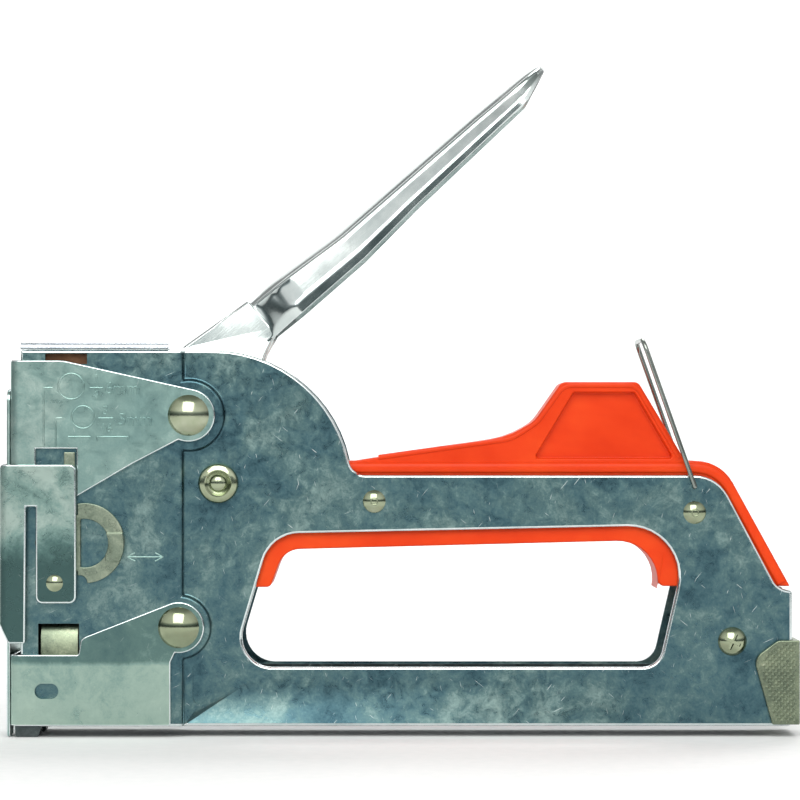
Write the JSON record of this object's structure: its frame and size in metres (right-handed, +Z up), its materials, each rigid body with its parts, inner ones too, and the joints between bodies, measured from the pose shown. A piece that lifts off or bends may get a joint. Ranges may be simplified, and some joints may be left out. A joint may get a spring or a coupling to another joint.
{
  "type": "staple gun",
  "caption": "Hand-squeezed cable staple gun: riveted pressed-steel body, moulded finger grip, chromed lever, wire-size selector and rear-loading magazine.",
  "frame": {"origin": "on the ground under the middle of the tool's length and width", "axes": "+X from the nose to the rear, +Y to the tool's right side, +Z up from the nose foot towards the lever"},
  "size_m": [0.1718, 0.0242, 0.1452],
  "materials": {
    "plated_steel": "zinc plated pressed sheet, mottled satin gloss with fine scratches",
    "dark_plated_steel": "zinc plated sheet, darker satin",
    "hardened_steel": "oiled hardened steel",
    "chrome_plate": "bright chrome plate",
    "nickel_rivet": "polished nickel plated rivet",
    "yellow_zinc": "pale yellow zinc plate",
    "red_plastic": "moulded orange red plastic, soft gloss",
    "spring_steel": "oil tempered spring wire",
    "bright_wire": "bright drawn wire",
    "brown_fibre": "pressed fibre",
    "black_rubber": "moulded rubber"
  },
  "bodies": {
    "housing": {"side_plate_left": "plated_steel", "side_plate_right": "plated_steel", "top_cap": "plated_steel", "upper_cover": "plated_steel", "lower_cover": "plated_steel", "front_plate": "plated_steel", "nose_guide": "hardened_steel", "selector_bracket": "dark_plated_steel", "bracket_rivets": "nickel_rivet", "grip_insert": "red_plastic", "lever_pivot": "nickel_rivet", "cover_rivets": "nickel_rivet", "grip_rivets": "nickel_rivet", "rear_spacer": "hardened_steel", "rear_screw": "nickel_rivet", "rear_nut": "nickel_rivet", "spring_stop": "brown_fibre", "bumper": "black_rubber", "feed_leaves": "yellow_zinc", "magazine_channel": "hardened_steel", "staple_strip": "bright_wire"},
    "lever": {"lever": "chrome_plate"},
    "plunger": {"plunger": "hardened_steel", "driver_blade": "hardened_steel", "main_spring": "spring_steel"},
    "selector": {"selector_slide": "yellow_zinc", "selector_pin": "hardened_steel"},
    "bail": {"lock_bail": "bright_wire"},
    "magazine_rod": {"rear_catch": "yellow_zinc", "guide_rod": "hardened_steel", "pusher_spring": "spring_steel"},
    "pusher": {"pusher": "hardened_steel"}
  },
  "joints": [
    {"name": "lever_squeeze", "type": "hinge", "parent": "housing", "child": "lever", "pos_m": [-0.03905, 0, 0.0546], "axis": [0, 1, 0], "range_deg": [0, 32], "stiffness_Nm_per_rad": 1.5, "springref_deg": -17.19},
    {"name": "plunger_lift", "type": "slide", "parent": "housing", "child": "plunger", "axis": [0, 0, 1], "range_m": [0, 0.01545], "deforming": ["main_spring"]},
    {"name": "selector_set", "type": "slide", "parent": "housing", "child": "selector", "axis": [1, 0, 0], "range_m": [-0.0052, 0]},
    {"name": "bail_swing", "type": "hinge", "parent": "housing", "child": "bail", "pos_m": [0.06335, 0, 0.0539], "axis": [0, 1, 0], "range_deg": [-26, 148]},
    {"name": "rod_pull", "type": "slide", "parent": "housing", "child": "magazine_rod", "axis": [1, 0, 0], "range_m": [0, 0.11]},
    {"name": "pusher_feed", "type": "slide", "parent": "magazine_rod", "child": "pusher", "axis": [1, 0, 0], "range_m": [0, 0.06], "stiffness_N_per_m": 20, "springref_m": -0.02, "deforming": ["pusher_spring"]}
  ],
  "couplings": [
    {"joint": "plunger_lift", "follows": "lever_squeeze", "m_per_rad": 0.02762}
  ]
}
